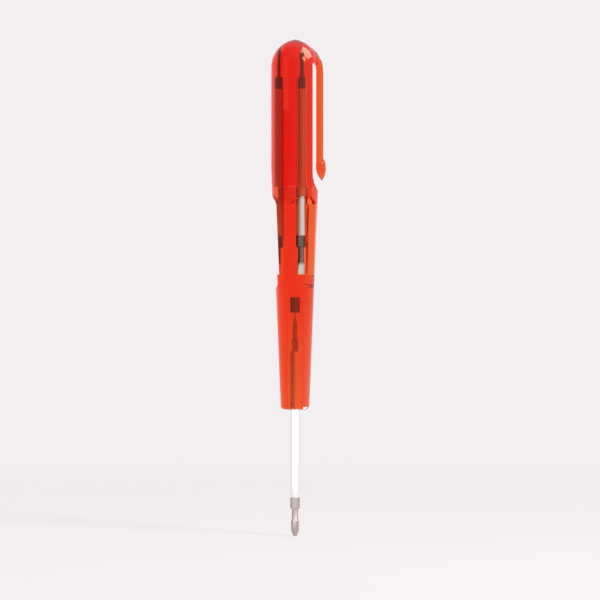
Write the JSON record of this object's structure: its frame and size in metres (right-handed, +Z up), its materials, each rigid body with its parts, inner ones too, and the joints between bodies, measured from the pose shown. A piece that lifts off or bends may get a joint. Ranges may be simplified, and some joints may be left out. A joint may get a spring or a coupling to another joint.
{
  "type": "pocket screwdriver",
  "caption": "Slim screwdriver with a tapered clear handle, a double-ended blade in its nose, spare blades in grooves round its top and a domed pull-off cap with a pocket clip.",
  "frame": {"origin": "the point of the working blade, on the tool's axis", "axes": "+Z up the tool's axis from the point to the dome, +X towards the pocket clip"},
  "size_m": [0.0196, 0.017, 0.1773],
  "materials": {
    "handle_plastic": "clear red, polished",
    "cap_plastic": "clear red, polished",
    "blade_steel": "bright plated shaft, greyer ground ends",
    "magnet": "dull, sintered"
  },
  "bodies": {
    "handle": {"handle": "handle_plastic", "magnet": "magnet"},
    "cap": {"cap": "cap_plastic"},
    "working_blade": {"working_blade": "blade_steel"},
    "spare_blade_left": {"spare_blade_left": "blade_steel"},
    "spare_blade_front": {"spare_blade_front": "blade_steel"}
  },
  "joints": [
    {"name": "cap_slide", "type": "slide", "parent": "handle", "child": "cap", "axis": [0, 0, 1], "range_m": [0, 0.12]},
    {"name": "working_blade_slide", "type": "slide", "parent": "handle", "child": "working_blade", "axis": [0, 0, -1], "range_m": [0, 0.04]},
    {"name": "spare_blade_left_slide", "type": "slide", "parent": "handle", "child": "spare_blade_left", "axis": [0, 0, 1], "range_m": [0, 0.084]},
    {"name": "spare_blade_front_slide", "type": "slide", "parent": "handle", "child": "spare_blade_front", "axis": [0, 0, 1], "range_m": [0, 0.084]}
  ],
  "couplings": [
    {"joint": "spare_blade_left_slide", "follows": "cap_slide", "ratio": 0.7},
    {"joint": "spare_blade_front_slide", "follows": "cap_slide", "ratio": 0.7}
  ]
}
